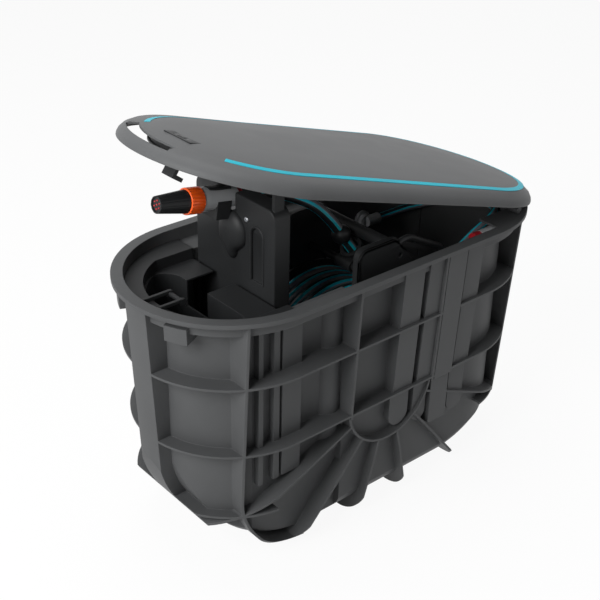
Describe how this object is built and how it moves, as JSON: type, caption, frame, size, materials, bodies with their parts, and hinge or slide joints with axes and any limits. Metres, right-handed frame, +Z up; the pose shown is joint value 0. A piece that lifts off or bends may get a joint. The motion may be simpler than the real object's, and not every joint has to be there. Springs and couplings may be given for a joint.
{
  "type": "hose reel box",
  "caption": "In-ground garden hose reel box with ribbed oval tub, hinged lid, storage well, spray nozzle on a lift panel and spring-return reel",
  "frame": {"origin": "On the ground, under the middle of the tub, in the plane of the feet", "axes": "+X towards the lid hinge, along the length; -Y towards the front; +Z up"},
  "size_m": [0.6327, 0.296, 0.5688],
  "materials": {
    "tub_plastic": "matte dark grey moulded plastic",
    "lid_plastic": "satin dark grey moulded plastic",
    "dark_plastic": "matte near-black moulded plastic",
    "black_plastic": "matte black plastic",
    "grey_plastic": "satin light grey plastic",
    "orange_plastic": "satin orange plastic",
    "red_plastic": "satin red plastic",
    "teal_plastic": "satin turquoise plastic",
    "hose": "grey garden hose with turquoise stripes",
    "steel": "zinc-plated steel"
  },
  "bodies": {
    "tub_body": {"tub": "tub_plastic", "hinge_base": "dark_plastic", "hinge_pin": "steel", "well_tray": "dark_plastic", "lift_guides": "dark_plastic", "near_plate": "dark_plastic", "far_plate": "dark_plastic", "top_bar": "dark_plastic", "guide_rail": "steel", "axle": "steel", "spring_case": "dark_plastic", "main_spring": "steel", "frame_screws": "steel", "inlet_elbow": "dark_plastic", "inlet_nipple": "dark_plastic", "supply_hose": "hose", "connector_body": "grey_plastic", "connector_collar": "red_plastic", "latch_catch": "dark_plastic", "leader_lower": "hose", "leader_middle": "hose", "leader_upper": "hose"},
    "lid": {"lid_cover": "lid_plastic", "lid_liner": "dark_plastic", "lid_stripe": "teal_plastic", "lid_lugs": "dark_plastic", "lock_plate": "dark_plastic", "latch_block": "dark_plastic", "latch_pin": "steel"},
    "lock": {"lock_slider": "black_plastic"},
    "latch": {"latch_hook": "dark_plastic"},
    "lift": {"lift_panel": "dark_plastic", "lift_bar": "steel", "nozzle_dock": "black_plastic"},
    "nozzle": {"nozzle_body": "grey_plastic", "nozzle_insert": "black_plastic", "nozzle_clip_ring": "red_plastic", "nozzle_coupling": "black_plastic"},
    "nozzle_head": {"nozzle_ring": "orange_plastic", "nozzle_tip": "black_plastic", "spray_plate": "red_plastic"},
    "reel": {"drum": "dark_plastic", "near_flange": "dark_plastic", "far_flange": "dark_plastic", "reel_bushes": "black_plastic", "spring_arbor": "steel", "hose_core": "hose", "hose_winding": "hose"},
    "guide": {"hose_guide": "dark_plastic"}
  },
  "joints": [
    {"name": "lid_hinge", "type": "hinge", "parent": "tub_body", "child": "lid", "pos_m": [0.289, 0, 0.388], "axis": [0, 1, 0], "range_deg": [-17, 3]},
    {"name": "lock_slide", "type": "slide", "parent": "lid", "child": "lock", "axis": [0, 1, 0], "range_m": [-0.008, 0.008]},
    {"name": "latch_pivot", "type": "hinge", "parent": "lid", "child": "latch", "pos_m": [-0.22645, 0, 0.54559], "axis": [0, 1, 0], "range_deg": [-18, 0]},
    {"name": "lift_slide", "type": "slide", "parent": "tub_body", "child": "lift", "axis": [0, 0, 1], "range_m": [-0.1305, 0.0235], "deforming": ["leader_upper"]},
    {"name": "nozzle_lift", "type": "slide", "parent": "lift", "child": "nozzle", "axis": [0, 0, 1], "range_m": [0, 0.01]},
    {"name": "nozzle_twist", "type": "hinge", "parent": "nozzle", "child": "nozzle_head", "pos_m": [-0.128, 0.03, 0.45382], "axis": [-0.986, 0, 0.1668], "range_deg": [-120, 120]},
    {"name": "reel_spin", "type": "hinge", "parent": "tub_body", "child": "reel", "pos_m": [0, 0, 0.193], "axis": [0, 1, 0], "continuous": true},
    {"name": "guide_traverse", "type": "slide", "parent": "tub_body", "child": "guide", "axis": [0, 1, 0], "range_m": [-0.03, 0.05], "deforming": ["leader_lower", "leader_middle"]}
  ],
  "couplings": [
    {"joint": "lift_slide", "follows": "lid_hinge", "m_per_rad": 0.4375}
  ]
}
